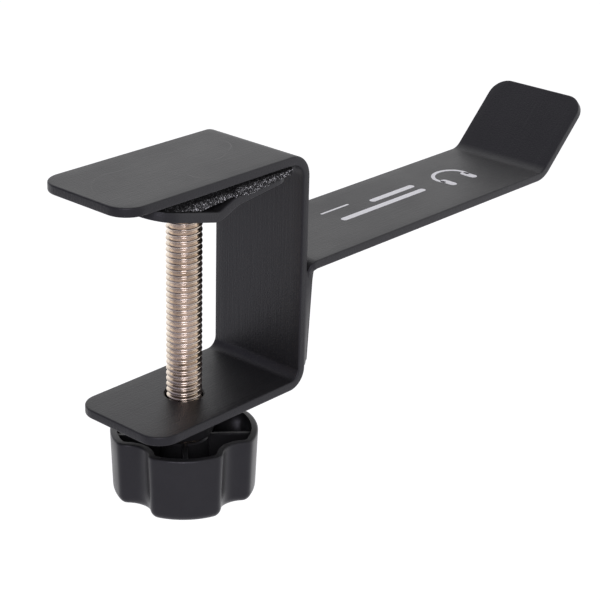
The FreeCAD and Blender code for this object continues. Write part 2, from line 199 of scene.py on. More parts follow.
def bridge(bm, lower, upper, closed=True):
    """Quads between two rows of vertices with the same count."""
    count = len(lower)
    for i in range(count if closed else count - 1):
        j = (i + 1) % count
        corners = [lower[i], lower[j], upper[j], upper[i]]
        if len(set(corners)) == 4:
            bm.faces.new(corners)


def spun(bm, profile, outline, segments):
    """Rings from a profile of (parameter, z) pairs, where outline(parameter, angle) is the radius."""
    rings = []
    for parameter, z in profile:
        ring = []
        for i in range(segments):
            angle = 2 * math.pi * i / segments
            radius = outline(parameter, angle)
            ring.append(bm.verts.new((radius * math.cos(angle), radius * math.sin(angle), z)))
        rings.append(ring)
    for lower, upper in zip(rings, rings[1:]):
        bridge(bm, lower, upper)
    return rings


def arc_steps(start, end, count):
    """Angles in radians from start to end in degrees."""
    return [math.radians(start + (end - start) * i / count) for i in range(count + 1)]


# ---------------------------------------------------------------- bent strips
class BentPath:
    """A line in the XZ plane with rounded corners; the strip's thickness lies to the right of it."""

    def __init__(self, corners, radii):
        self.runs = []
        points = [Vector(c) for c in corners]
        directions = [(b - a).normalized() for a, b in zip(points, points[1:])]
        start = points[0]
        position = 0.0
        for i, direction in enumerate(directions):
            end = points[i + 1]
            if i < len(radii):
                after = directions[i + 1]
                turn = math.atan2(direction.x * after.y - direction.y * after.x, direction.dot(after))
                cut = radii[i] * math.tan(abs(turn) / 2)
                end = points[i + 1] - direction * cut
            length = (end - start).length
            self.runs.append((position, length, start, direction, 0.0, 0.0))
            position += length
            if i < len(radii):
                arc = radii[i] * abs(turn)
                self.runs.append((position, arc, end, direction, turn, radii[i]))
                position += arc
                start = points[i + 1] + after * cut
        self.length = position

    def place(self, s, depth):
        """The point at distance s along the line and depth below it."""
        for begin, length, start, direction, turn, radius in self.runs:
            if s <= begin + length or (begin, length) == self.runs[-1][:2]:
                along = s - begin
                break
        if turn == 0.0:
            point = start + direction * along
            heading = direction
        else:
            side = 1.0 if turn > 0 else -1.0
            left = Vector((-direction.y, direction.x)) * side
            angle = along / radius
            centre = start + left * radius
            point = centre - left * radius * math.cos(angle) + direction * radius * math.sin(angle)
            heading = direction * math.cos(angle) + left * math.sin(angle)
        right = Vector((heading.y, -heading.x))
        return point + right * depth

    def stations(self, first, last):
        """Distances between first and last that resolve the bends."""
        flat_step = 3.0
        bend_steps = 18
        closest = 0.05
        found = [first]
        for begin, length, _, _, turn, _ in self.runs:
            count = max(1, math.ceil(length / flat_step)) if turn == 0.0 else bend_steps
            for i in range(count + 1):
                s = begin + length * i / count
                if found[-1] + closest < s < last - closest:
                    found.append(s)
        return found + [last]


def strip_ring(path, strip_half, end_radii, inset, across):
    """The strip's outline moved inwards, as pairs of columns and the full loop."""
    first, last = end_radii
    half = strip_half - inset
    corner_steps = 14
    columns = [(inset, strip_half - first)]
    for a in arc_steps(0, 90, corner_steps)[1:-1]:
        radius = first - inset
        columns.append((first - radius * math.cos(a), strip_half - first + radius * math.sin(a)))
    columns += [(s, half) for s in path.stations(first, path.length - last)]
    for a in arc_steps(90, 0, corner_steps)[1:-1]:
        radius = last - inset
        columns.append((path.length - last + radius * math.cos(a), strip_half - last + radius * math.sin(a)))
    columns.append((path.length - inset, strip_half - last))
    shares = [2 * i / across - 1 for i in range(across + 1)]
    loop = [(s, -y) for s, y in columns]
    loop += [(columns[-1][0], columns[-1][1] * share) for share in shares[1:-1]]
    loop += [(s, y) for s, y in reversed(columns)]
    loop += [(columns[0][0], -columns[0][1] * share) for share in shares[1:-1]]
    return columns, loop, shares


def bent_strip(corners, radii, thickness, edge, strip_half=STRIP_HALF,
               end_radii=(CORNER_RADIUS, CORNER_RADIUS), narrowing=None):
    """A bent strip with rounded edges and end corners, with flat (s, y) coordinates as its UV map.

    narrowing(s) is the share of the full width at distance s along the strip.
    """
    path = BentPath(corners, radii)
    bm = bmesh.new()
    across = 10
    profile = [(edge * (1 - math.cos(a)), edge * (1 - math.sin(a))) for a in arc_steps(90, 0, 5)]
    profile += [(inset, thickness - depth) for inset, depth in reversed(profile)]
    rows = []
    for inset, depth in profile:
        loop = strip_ring(path, strip_half, end_radii, inset, across)[1]
        rows.append([bm.verts.new((s, y, depth)) for s, y in loop])
    for lower, upper in zip(rows, rows[1:]):
        bridge(bm, lower, upper)
    for inset, depth in (profile[0], profile[-1]):
        columns, _, shares = strip_ring(path, strip_half, end_radii, inset, across)
        lines = [[bm.verts.new((s, y * share, depth)) for share in shares] for s, y in columns]
        for lower, upper in zip(lines, lines[1:]):
            bridge(bm, lower, upper, closed=False)
    bmesh.ops.remove_doubles(bm, verts=bm.verts, dist=STRIP_TOLERANCE)
    flat = bm.loops.layers.uv.new("flat")
    for face in bm.faces:
        for corner in face.loops:
            corner[flat].uv = (corner.vert.co.x * MM, corner.vert.co.y * MM)
    for vertex in bm.verts:
        s, y, depth = vertex.co
        if narrowing is not None:
            y *= narrowing(s)
        point = path.place(s, depth)
        vertex.co = (point.x, y, point.y)
    return bm


def cut_hole(piece, profile):
    """Cut a round hole, given as (radius, z) pairs in millimetres, on the screw's axis."""
    bm = bmesh.new()
    rings = spun(bm, profile, lambda radius, angle: radius, 96)
    bm.faces.new(rings[0])
    bm.faces.new(rings[-1])
    bmesh.ops.recalc_face_normals(bm, faces=bm.faces)
    bmesh.ops.scale(bm, vec=Vector((MM, MM, MM)), verts=bm.verts)
    mesh = bpy.data.meshes.new("cutter")
    bm.to_mesh(mesh)
    bm.free()
    cutter = bpy.data.objects.new("cutter", mesh)
    bpy.context.scene.collection.objects.link(cutter)
    cut = piece.modifiers.new("hole", "BOOLEAN")
    cut.operation = "DIFFERENCE"
    cut.solver = "EXACT"
    cut.object = cutter
    apply_modifiers(piece)
    bpy.data.objects.remove(cutter)


def apply_modifiers(piece):
    """Bake a piece's modifiers into its mesh."""
    graph = bpy.context.evaluated_depsgraph_get()
    mesh = bpy.data.meshes.new_from_object(piece.evaluated_get(graph))
    piece.modifiers.clear()
    piece.data = mesh
    sharpen(piece)


def sharpen(piece, degrees=35):
    """Smooth shading except across creases."""
    piece.data.polygons.foreach_set("use_smooth", [True] * len(piece.data.polygons))
    piece.data.set_sharp_from_angle(angle=math.radians(degrees))


# ---------------------------------------------------------------- materials
class Nodes:
    """Short calls for building a node material."""

    def __init__(self, name):
        self.material = bpy.data.materials.new(name)
        self.material.use_nodes = True
        self.tree = self.material.node_tree
        self.shader = self.tree.nodes["Principled BSDF"]

    def add(self, kind, **values):
        node = self.tree.nodes.new(kind)
        for key, value in values.items():
            if key in node.inputs:
                node.inputs[key].default_value = value
            else:
                setattr(node, key, value)
        return node

    def join(self, source, output, target, socket):
        self.tree.links.new(source.outputs[output], target.inputs[socket])

    def ramp(self, source, output, stops):
        node = self.add("ShaderNodeValToRGB")
        elements = node.color_ramp.elements
        while len(elements) < len(stops):
            elements.new(0.5)
        for element, (place, value) in zip(elements, stops):
            element.position = place
            element.color = value if len(value) == 4 else (*value, 1.0)
        self.join(source, output, node, "Fac")
        return node

    def scaled(self, source, output, low, high, start=0.0, end=1.0):
        node = self.add("ShaderNodeMapRange")
        node.inputs["From Min"].default_value = start
        node.inputs["From Max"].default_value = end
        node.inputs["To Min"].default_value = low
        node.inputs["To Max"].default_value = high
        self.join(source, output, node, "Value")
        return node

    def noise(self, source, output, scale, detail, roughness=0.5):
        node = self.add("ShaderNodeTexNoise", Scale=scale, Detail=detail, Roughness=roughness)
        self.join(source, output, node, "Vector")
        return node

    def maths(self, operation, *inputs):
        """A maths node fed by (node, output) pairs or plain numbers."""
        node = self.add("ShaderNodeMath", operation=operation)
        for socket, value in enumerate(inputs):
            if isinstance(value, tuple):
                self.join(*value, node, socket)
            else:
                node.inputs[socket].default_value = value
        return node

    def bump(self, source, output, strength, distance, previous=None):
        node = self.add("ShaderNodeBump")
        node.inputs["Strength"].default_value = strength
        node.inputs["Distance"].default_value = distance
        self.join(source, output, node, "Height")
        if previous is not None:
            self.join(previous, "Normal", node, "Normal")
        return node


def grey(value):
    """An opaque colour with three equal channels."""
    return (value, value, value, 1.0)


def hairline_marks(n, place, cloud):
    """Broken curved lines, where a slow noise crosses its middle value, on the top arm only."""
    swirl = n.noise(place, "Object", 48.0, 0.0)
    offset = n.maths("SUBTRACT", (swirl, "Fac"), 0.5)
    nearness = n.maths("ABSOLUTE", (offset, "Value"))
    hairline = n.scaled(nearness, "Value", HAIRLINES, 0.0, 0.0, 0.006)
    patch = n.scaled(cloud, "Fac", 0.0, 1.0, 0.46, 0.58)
    broken = n.maths("MULTIPLY", (hairline, "Result"), (patch, "Result"))
    parts = n.add("ShaderNodeSeparateXYZ")
    n.join(place, "Object", parts, "Vector")
    on_top = n.scaled(parts, "Z", 0.0, 1.0, 0.0065, 0.0069)
    return n.maths("MULTIPLY", (broken, "Value"), (on_top, "Result"))


def powder_coat(name, base, roughness, streaks=0.9):
    """Satin powder coat: fine orange peel, rolling marks along the strip, hairline marks on the top arm."""
    n = Nodes(name)
    uv = n.add("ShaderNodeUVMap", uv_map="flat")
    stretch = n.add("ShaderNodeMapping")
    stretch.inputs["Scale"].default_value = (45.0, 1400.0, 1.0)
    n.join(uv, "UV", stretch, "Vector")
    grain = n.noise(stretch, "Vector", 1.0, 3.0, 0.55)
    place = n.add("ShaderNodeTexCoord")
    peel = n.noise(place, "Object", 1700.0, 2.0)
    cloud = n.noise(place, "Object", 38.0, 3.0, 0.6)
    tone = n.ramp(cloud, "Fac", [(0.3, grey(base * 0.85)), (0.7, grey(base * 1.15))])
    rub = n.add("ShaderNodeMapping")
    rub.inputs["Scale"].default_value = (14.0, 420.0, 1.0)
    rub.inputs["Rotation"].default_value = (0.0, 0.0, 0.12)
    n.join(uv, "UV", rub, "Vector")
    wear = n.noise(rub, "Vector", 1.0, 5.0, 0.7)
    marks = n.scaled(wear, "Fac", 0.0, SCRATCHES, 0.60, 0.78)
    marks = n.maths("ADD", (marks, "Result"), (hairline_marks(n, place, cloud), "Value"))
    scratched = n.add("ShaderNodeMix", data_type="RGBA")
    n.join(marks, "Value", scratched, "Factor")
    n.join(tone, "Color", scratched, MIX_A)
    scratched.inputs[MIX_B].default_value = grey(0.35)
    n.join(scratched, MIX_RESULT, n.shader, "Base Color")
    n.shader.inputs["Specular Tint"].default_value = COOL_TINT
    rough = n.scaled(cloud, "Fac", roughness - 0.03, roughness + 0.04, 0.3, 0.7)
    n.join(rough, "Result", n.shader, "Roughness")
    first = n.bump(grain, "Fac", streaks, 0.00008)
    second = n.bump(peel, "Fac", 0.5, 0.00016, first)
    n.join(second, "Normal", n.shader, "Normal")
    n.shader.inputs["IOR"].default_value = 1.5
    return n.material


def moulded_plastic(name, base, roughness):
    """Dark moulded skin with a fine grain and slight clouds."""
    n = Nodes(name)
    place = n.add("ShaderNodeTexCoord")
    skin = n.noise(place, "Object", 2600.0, 2.0)
    flow = n.noise(place, "Object", 60.0, 3.0, 0.6)
    tone = n.ramp(flow, "Fac", [(0.3, grey(base * 0.85)), (0.7, grey(base * 1.2))])
    n.join(tone, "Color", n.shader, "Base Color")
    n.shader.inputs["Specular Tint"].default_value = COOL_TINT
    rough = n.scaled(flow, "Fac", roughness - 0.04, roughness + 0.05, 0.3, 0.7)
    n.join(rough, "Result", n.shader, "Roughness")
    relief = n.bump(skin, "Fac", 0.3, 0.00004)
    n.join(relief, "Normal", n.shader, "Normal")
    n.shader.inputs["IOR"].default_value = 1.5
    return n.material


def nickel_plate(name, colour, roughness):
    """Bright plating with faint drawing lines round the thread and dull patches."""
    n = Nodes(name)
    place = n.add("ShaderNodeTexCoord")
    stretch = n.add("ShaderNodeMapping")
    stretch.inputs["Scale"].default_value = (300.0, 300.0, 5000.0)
    n.join(place, "Object", stretch, "Vector")
    lines = n.noise(stretch, "Vector", 1.0, 2.0)
    haze = n.noise(place, "Object", 160.0, 4.0, 0.6)
    dark = (colour[0] * 0.8, colour[1] * 0.78, colour[2] * 0.74, 1.0)
    tone = n.ramp(haze, "Fac", [(0.35, dark), (0.6, (*colour, 1.0))])
    n.join(tone, "Color", n.shader, "Base Color")
    n.shader.inputs["Metallic"].default_value = 1.0
    rough = n.scaled(haze, "Fac", roughness * 0.8, roughness * 1.5, 0.35, 0.7)
    n.join(rough, "Result", n.shader, "Roughness")
    relief = n.bump(lines, "Fac", 0.15, 0.00003)
    n.join(relief, "Normal", n.shader, "Normal")
    return n.material


def cell_foam(name):
    """Rubber foam with dark cells and painted glints on its walls, and painted shade close under the arm."""
    n = Nodes(name)
    place = n.add("ShaderNodeTexCoord")
    cells = n.add("ShaderNodeTexVoronoi", Scale=1500.0, Randomness=1.0)
    n.join(place, "Object", cells, "Vector")
    speckle = n.noise(place, "Object", 2100.0, 3.0, 0.7)
    # Near-white speckles: painted glints on the cell walls.
    tone = n.ramp(speckle, "Fac", [(0.50, grey(0.008)), (0.57, grey(0.08)), (0.63, grey(0.95))])
    # Painted shade: above its lowest 0.4 to 2.2 mm the foam turns near black, as if in the arm's shadow,
    # except on the rim squeezed out past the plate's edge.
    parts = n.add("ShaderNodeSeparateXYZ")
    n.join(place, "Object", parts, "Vector")
    low_unshaded = n.scaled(parts, "Z", 0.05, 1.0, 0.0022, 0.0004)
    sideways = n.maths("ABSOLUTE", (parts, "Y"))
    squeezed = n.scaled(sideways, "Value", 0.0, 1.0, 0.0200, 0.0203)
    painted_light = n.maths("MAXIMUM", (low_unshaded, "Result"), (squeezed, "Result"))
    # The painted light factor mixes from the painted shade colour grey(0.006) to the speckle tone.
    shade = n.add("ShaderNodeMix", data_type="RGBA")
    n.join(painted_light, "Value", shade, "Factor")
    shade.inputs[MIX_A].default_value = grey(0.006)
    n.join(tone, "Color", shade, MIX_B)
    n.join(shade, MIX_RESULT, n.shader, "Base Color")
    # The painted shade also lowers the specular level.
    gloss = n.scaled(painted_light, "Value", 0.02, 0.5)
    n.join(gloss, "Result", n.shader, "Specular IOR Level")
    rough = n.scaled(speckle, "Fac", 0.85, 0.35, 0.4, 0.75)
    n.join(rough, "Result", n.shader, "Roughness")
    first = n.bump(cells, "Distance", 0.9, 0.0004)
    second = n.bump(speckle, "Fac", 0.9, 0.0004, first)
    n.join(second, "Normal", n.shader, "Normal")
    return n.material


def set_material(piece, material):
    """Make a material the only one of a piece."""
    piece.data.materials.clear()
    piece.data.materials.append(material)


coat = powder_coat("coat", 0.017, 0.42)
plate_coat = powder_coat("plate_coat", 0.02, 0.45, 0.7)
plain_coat = moulded_plastic("plain_coat", 0.018, 0.42)
plastic = moulded_plastic("plastic", 0.02, 0.36)
nickel = nickel_plate("nickel", (0.95, 0.83, 0.71), 0.2)
zinc = nickel_plate("zinc", (0.60, 0.60, 0.60), 0.3)
foam = cell_foam("foam")


# ---------------------------------------------------------------- steelwork
def make_bracket():
    """C-shaped strip: top arm, back plate and bottom arm, with the screw's hole in the bottom arm."""
    corners = [(BACK_X - ARM_LENGTH, TOP_Z), (BACK_X, TOP_Z),
               (BACK_X, FOOT_BOTTOM), (BACK_X - FOOT_LENGTH, FOOT_BOTTOM)]
    bm = bent_strip(corners, [TOP_BEND, BOTTOM_BEND], STEEL, EDGE_ROUND)
    piece = link("bracket_strip", bm, "frame", ["clamp_bracket"])
    rim = 0.4
    beyond = 1.0
    hole = SCREW_RADIUS + BRACKET_BORE_GAP
    foot_top = FOOT_BOTTOM + STEEL
    cut_hole(piece, [(hole, FOOT_BOTTOM - beyond), (hole, foot_top - rim), (hole + rim, foot_top),
                     (hole + rim, foot_top + beyond)])
    set_material(piece, coat)


def flange_half_width(z):
    """Half width of the flange, which tapers from its shoulder to its lower end."""
    share = (FLANGE_SHOULDER_Z - z) / (FLANGE_SHOULDER_Z - FLANGE_END)
    return FLANGE_SHOULDER + (FLANGE_TIP - FLANGE_SHOULDER) * share


def make_side_fillet(name, side):
    """A ground weld that fills the step between the back plate's rim and the flange's side."""
    bm = bmesh.new()
    rows = []
    top = HOOK_TOP - HOOK_BEND + 0.9
    end = FLANGE_END + 0.4
    steps = 60
    for i in range(steps + 1):
        z = top + (end - top) * i / steps
        inner = min(flange_half_width(z), STRIP_HALF) + 0.03
        outer = STRIP_HALF + 0.02
        wave = 0.04 * noise.noise(Vector((z * 0.6, side * 5.0, 0.0)))
        section = [(BACK_X - 1.2, inner - 1.6), (BACK_X - 1.2, outer - 0.01), (BACK_X - 0.5, outer)]
        for share in (0.2, 0.4, 0.6, 0.8):
            bulge = 0.3 * share * (1 - share) * (outer - inner) + wave * share
            section.append((BACK_X - 0.5 + (STEEL - 0.3) * share, outer + (inner - outer) * share + bulge))
        section += [(BACK_X + STEEL - 0.8, inner), (BACK_X + STEEL - 0.8, inner - 1.6)]
        rows.append([bm.verts.new((x, side * y, z)) for x, y in section])
    for lower, upper in zip(rows, rows[1:]):
        bridge(bm, lower, upper)
    bm.faces.new(rows[0])
    bm.faces.new(rows[-1])
    piece = link(name, bm, "frame")
    sharpen(piece, 50)
    set_material(piece, plain_coat)


def make_hook():
    """Flange, arm and upturned lip in one strip, narrower along the flange."""
    lip = math.radians(LIP_ANGLE)
    corner_x = BACK_X + HOOK_REACH
    tip = (corner_x + LIP_LENGTH * math.cos(lip), HOOK_TOP + LIP_LENGTH * math.sin(lip))
    corners = [(BACK_X, FLANGE_END), (BACK_X, HOOK_TOP), (corner_x, HOOK_TOP), tip]

    def narrowing(s):
        """Share of the hook's full width at distance s from the flange's lower end."""
        z = FLANGE_END + s
        if z > HOOK_TOP:
            return 1.0
        if z > FLANGE_SHOULDER_Z:
            share = (z - FLANGE_SHOULDER_Z) / (HOOK_TOP - FLANGE_SHOULDER_Z)
            return (FLANGE_SHOULDER + (HOOK_HALF - FLANGE_SHOULDER) * share) / HOOK_HALF
        return flange_half_width(z) / HOOK_HALF

    bm = bent_strip(corners, [HOOK_BEND, LIP_BEND], STEEL, EDGE_ROUND, HOOK_HALF,
                    (FLANGE_CORNER, CORNER_RADIUS - 0.8), narrowing)
    piece = link("hook_strip", bm, "frame", ["hook_arm"])
    sharpen(piece, 60)
    set_material(piece, coat)


def plate_top(x):
    """Height of the pressure plate's upper side, without the rounding of its bends."""
    corners = [PLATE_FREE_TIP, PLATE_FOLD, PLATE_KNEE, PLATE_BACK_TIP]
    for start, end in zip(corners, corners[1:]):
        if x <= end[0] or end == PLATE_BACK_TIP:
            return start[1] + (x - start[0]) * (end[1] - start[1]) / (end[0] - start[0])


def make_plate():
    """Folded pressure plate with a countersunk hole on the screw's axis."""
    corners = [PLATE_FREE_TIP, PLATE_FOLD, PLATE_KNEE, PLATE_BACK_TIP]
    bm = bent_strip(corners, [FOLD_RADIUS, KNEE_RADIUS], PLATE_STEEL, EDGE_ROUND,
                    end_radii=(PLATE_FREE_CORNER, PLATE_BACK_CORNER))
    piece = link("plate_strip", bm, "plate", ["pressure_plate"])
    sink = PLATE_FOLD[1] - SINK_DEPTH
    cut_hole(piece, [(PLATE_HOLE, sink - 8.0), (PLATE_HOLE, sink), (PLATE_HOLE + 7.0, sink + 7.0)])
    set_material(piece, plate_coat)


def hexagon_radius(angle, across_flats, first_corner):
    """Radius of a hexagon at an angle, with slightly rounded corners."""
    sector = math.radians(60)
    offset = (angle - first_corner) % sector - sector / 2
    flat = across_flats / 2 / math.cos(offset)
    return min(flat, across_flats / math.sqrt(3) - 0.15)


def make_nut():
    """Hexagon nut, bevelled at its lower end."""
    bm = bmesh.new()
    low = FOOT_BOTTOM - NUT_HEIGHT
    high = FOOT_BOTTOM
    half = NUT_ACROSS_FLATS / 2
    bore = SCREW_RADIUS + RUNNING_GAP
    corner = NUT_ACROSS_FLATS / math.sqrt(3)
    bevel = 1.0
    lead = 0.8

    def outline(parameter, angle):
        return min(parameter, hexagon_radius(angle, NUT_ACROSS_FLATS, math.radians(90)))

    profile = [(bore, high), (half - 0.2, high), (corner, high), (corner, low + bevel)]
    for share in (0.25, 0.5, 0.75):
        profile.append((half + (corner - half) * (1 - share), low + bevel * (1 - share)))
    profile += [(half - 0.4, low), (bore + lead, low), (bore, low + lead), (bore, high)]
    spun(bm, profile, outline, 144)
    bmesh.ops.remove_doubles(bm, verts=bm.verts, dist=SPUN_TOLERANCE)
    piece = link("nut_hexagon", bm, "frame", ["weld_nut"])
    sharpen(piece, 30)
    set_material(piece, plain_coat)


def weld_bead(name, start, end, radius, seed, replaces=()):
    """A rippled bead along a line in millimetres, with overlapping solidified pools."""
    bm = bmesh.new()
    start = Vector(start)
    end = Vector(end)
    along = (end - start).normalized()
    side = along.orthogonal().normalized()
    up = along.cross(side)
    length = (end - start).length
    rows = []
    pool_length = 1.6
    ring_points = 20
    count = int(length / 0.2)
    for i in range(count + 1):
        share = i / count
        swell = abs(math.sin(math.pi * share * length / pool_length)) ** 0.6
        wander = noise.noise(Vector((share * length * 0.35, seed, 0.0)))
        taper = min(1.0, 4 * share + 0.3, 4 * (1 - share) + 0.3)
        size = radius * taper * (0.86 + 0.14 * swell + 0.1 * wander)
        centre = start.lerp(end, share)
        row = []
        for j in range(ring_points):
            a = 2 * math.pi * j / ring_points
            row.append(bm.verts.new(centre + (side * math.cos(a) + up * math.sin(a)) * size))
        rows.append(row)
    for lower, upper in zip(rows, rows[1:]):
        bridge(bm, lower, upper)
    bm.faces.new(rows[0])
    bm.faces.new(rows[-1])
    piece = link(name, bm, "frame", replaces)
    set_material(piece, plain_coat)


# ---------------------------------------------------------------- screw and knob
def thread_radius(angle, z):
    """Radius of a rounded right-hand thread."""
    phase = (z / THREAD_PITCH - angle / (2 * math.pi)) % 1.0
    wave = 0.5 - 0.5 * math.cos(2 * math.pi * phase)
    return SCREW_RADIUS - THREAD_DEPTH * (1 - wave) ** 1.25


def make_screw():
    """The screw as rings from the knob up; a radius of None stands for the thread."""
    bm = bmesh.new()
    low = KNOB_BOTTOM + CAP_THICKNESS
    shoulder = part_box("thrust_washer")[0].z / MM - RUNNING_GAP
    peen = PLATE_FOLD[1] - SINK_DEPTH + PEEN_GAP - (PLATE_HOLE - SPIGOT_RADIUS)
    peen_top = peen + SINK_DEPTH
    first_thread = 4.9
    steps_per_turn = 16
    ring_points = 72
    profile = [(0.01, low), (5.0, low)]
    z = low
    while z < shoulder - 0.1:
        profile.append((None, z))
        z += THREAD_PITCH / steps_per_turn
    profile += [(5.2, shoulder - 0.1), (first_thread, shoulder)]
    profile += [(SPIGOT_RADIUS, shoulder), (SPIGOT_RADIUS, peen)]
    profile += [(SPIGOT_RADIUS + SINK_DEPTH * 0.9, peen + SINK_DEPTH * 0.9), (SPIGOT_RADIUS + 0.9, peen_top)]
    profile += [(2.0, peen_top + 0.15), (0.01, peen_top + 0.2)]
    rings = []
    for radius, height in profile:
        ring = []
        for i in range(ring_points):
            angle = 2 * math.pi * i / ring_points
            reach = radius
            if radius is None:
                reach = min(thread_radius(angle, height), first_thread + (shoulder - height) * 0.8)
            ring.append(bm.verts.new((reach * math.cos(angle), reach * math.sin(angle), height)))
        rings.append(ring)
    for lower, upper in zip(rings, rings[1:]):
        bridge(bm, lower, upper)
    piece = link("threaded_rod", bm, "spindle", ["clamp_screw"])
    sharpen(piece, 50)
    set_material(piece, nickel)


def make_washer():
    """Thrust washer between the screw's shoulder and the plate."""
    bm = bmesh.new()
    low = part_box("thrust_washer")[0].z / MM
    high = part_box("thrust_washer")[1].z / MM
    inner = SPIGOT_RADIUS + RUNNING_GAP
    outer = SCREW_RADIUS - 0.2
    edge = 0.2
    profile = [(inner, low), (outer - edge, low), (outer, low + edge), (outer, high - edge),
               (outer - edge, high), (inner, high), (inner, low)]
    spun(bm, profile, lambda radius, angle: radius, 72)
    bmesh.ops.remove_doubles(bm, verts=bm.verts, dist=SPUN_TOLERANCE)
    piece = link("washer_ring", bm, "lift", ["thrust_washer"])
    sharpen(piece, 40)
    set_material(piece, zinc)


def lobed_radius(inset, angle):
    """Radius of the knob's outline, moved inwards by inset."""
    lobe = KNOB_RADIUS - inset
    hollow = KNOB_SCALLOP + inset
    hollow_centre = KNOB_VALLEY + KNOB_SCALLOP
    shoulder = max(KNOB_SHOULDER - inset, 0.4)
    inner = lobe - shoulder
    outer = hollow + shoulder
    centre_angle = math.acos((inner ** 2 + hollow_centre ** 2 - outer ** 2) / (2 * inner * hollow_centre))
    step = 2 * math.pi / KNOB_LOBES
    away = abs((angle - math.radians(KNOB_PHASE)) % step - step / 2)
    if away >= centre_angle:
        return lobe
    shoulder_at = Vector((inner * math.cos(centre_angle), inner * math.sin(centre_angle)))
    towards = (Vector((hollow_centre, 0.0)) - shoulder_at).normalized()
    touch = shoulder_at + towards * shoulder
    if away < math.atan2(touch.y, touch.x):
        return hollow_centre * math.cos(away) - math.sqrt(hollow ** 2 - (hollow_centre * math.sin(away)) ** 2)
    turn = centre_angle - away
    return inner * math.cos(turn) + math.sqrt(shoulder ** 2 - (inner * math.sin(turn)) ** 2)


def make_knob():
    """Hollow moulded knob: skirt, floor and boss in one ring surface, and separate ribs."""
    bm = bmesh.new()
    recess = KNOB_BOTTOM + CAP_THICKNESS
    floor = KNOB_BOTTOM + KNOB_FLOOR
    boss_top = KNOB_TOP - RIB_DROP
    seat = CAP_RADIUS + SEAT_GAP
    bore = SCREW_RADIUS + RUNNING_GAP
    skirt = KNOB_HEIGHT - KNOB_FILLET - KNOB_RIM_ROUND

    def round_points(*points):
        return [(("round", radius), z) for radius, z in points]

    def lobed_points(*points):
        return [(("lobed", inset), z) for inset, z in points]

    profile = round_points((seat, recess), (seat, KNOB_BOTTOM + 0.3), (CAP_RADIUS + 0.4, KNOB_BOTTOM))
    for a in arc_steps(0, 90, 8):
        profile += lobed_points((KNOB_DRAFT + KNOB_FILLET * (1 - math.sin(a)),
                                 KNOB_BOTTOM + KNOB_FILLET * (1 - math.cos(a))))
    for share in (0.25, 0.5, 0.75, 1.0):
        profile += lobed_points((KNOB_DRAFT * (1 - share), KNOB_BOTTOM + KNOB_FILLET + skirt * share))
    for a in arc_steps(15, 90, 5):
        profile += lobed_points((KNOB_RIM_ROUND * (1 - math.cos(a)),
                                 KNOB_TOP - KNOB_RIM_ROUND * (1 - math.sin(a))))
    for a in arc_steps(90, 0, 4):
        profile += lobed_points((KNOB_WALL - KNOB_INNER_ROUND * math.cos(a),
                                 KNOB_TOP - KNOB_INNER_ROUND * (1 - math.sin(a))))
    profile += lobed_points((KNOB_WALL, KNOB_TOP - 4.0), (KNOB_WALL + 0.5, KNOB_TOP - 4.6),
                            (KNOB_WALL + 0.7, floor + 1.5), (KNOB_WALL + 1.1, floor + 0.5),
                            (KNOB_WALL + 2.0, floor))
    profile += round_points((BOSS_RADIUS + 1.0, floor), (BOSS_RADIUS + 0.2, floor + 0.6),
                            (BOSS_RADIUS, floor + 2.0), (BOSS_RADIUS - 0.1, boss_top - 0.5),
                            (BOSS_RADIUS - 0.6, boss_top), (SCREW_RADIUS + 0.6, boss_top),
                            (bore, boss_top - 0.6), (bore, recess), (seat, recess))

    def outline(parameter, angle):
        kind, value = parameter
        return value if kind == "round" else lobed_radius(value, angle)

    spun(bm, profile, outline, 240)
    bmesh.ops.remove_doubles(bm, verts=bm.verts, dist=SPUN_TOLERANCE)
    shell = link("knob_shell", bm, "spindle", ["knob_body"])
    sharpen(shell, 40)
    set_material(shell, plastic)
    rib_start = SCREW_RADIUS + 0.6
    length = KNOB_RADIUS - KNOB_WALL / 2 - rib_start
    height = boss_top - floor + 0.5
    middle = Vector((rib_start + length / 2, 0, boss_top - height / 2))
    for k in range(KNOB_LOBES):
        bm = bmesh.new()
        bmesh.ops.create_cube(bm, size=1.0)
        bmesh.ops.scale(bm, vec=Vector((length, RIB_THICKNESS, height)), verts=bm.verts)
        bmesh.ops.translate(bm, vec=middle, verts=bm.verts)
        bmesh.ops.bevel(bm, geom=bm.edges[:], offset=0.3, segments=3, affect="EDGES")
        turn = Matrix.Rotation(math.radians(KNOB_PHASE + 360 / KNOB_LOBES * k), 4, "Z")
        bmesh.ops.transform(bm, matrix=turn, verts=bm.verts)
        rib = link("knob_rib_%d" % (k + 1), bm, "spindle")
        sharpen(rib, 40)
        set_material(rib, plastic)


def make_cap():
    """Dished cap in the knob's closed end."""
    bm = bmesh.new()
    dish = KNOB_BOTTOM + 0.35
    edge = 0.5
    top = KNOB_BOTTOM + CAP_THICKNESS - 0.05
    profile = [(0.01, dish), (CAP_RADIUS - 3.0, dish), (CAP_RADIUS - 2.4, KNOB_BOTTOM)]
    for a in arc_steps(0, 90, 5):
        profile.append((CAP_RADIUS - edge * (1 - math.sin(a)), KNOB_BOTTOM + edge * (1 - math.cos(a))))
    profile += [(CAP_RADIUS, top), (0.01, top)]
    spun(bm, profile, lambda radius, angle: radius, 96)
    piece = link("cap_disc", bm, "spindle", ["knob_cap"])
    sharpen(piece, 40)
    set_material(piece, plastic)


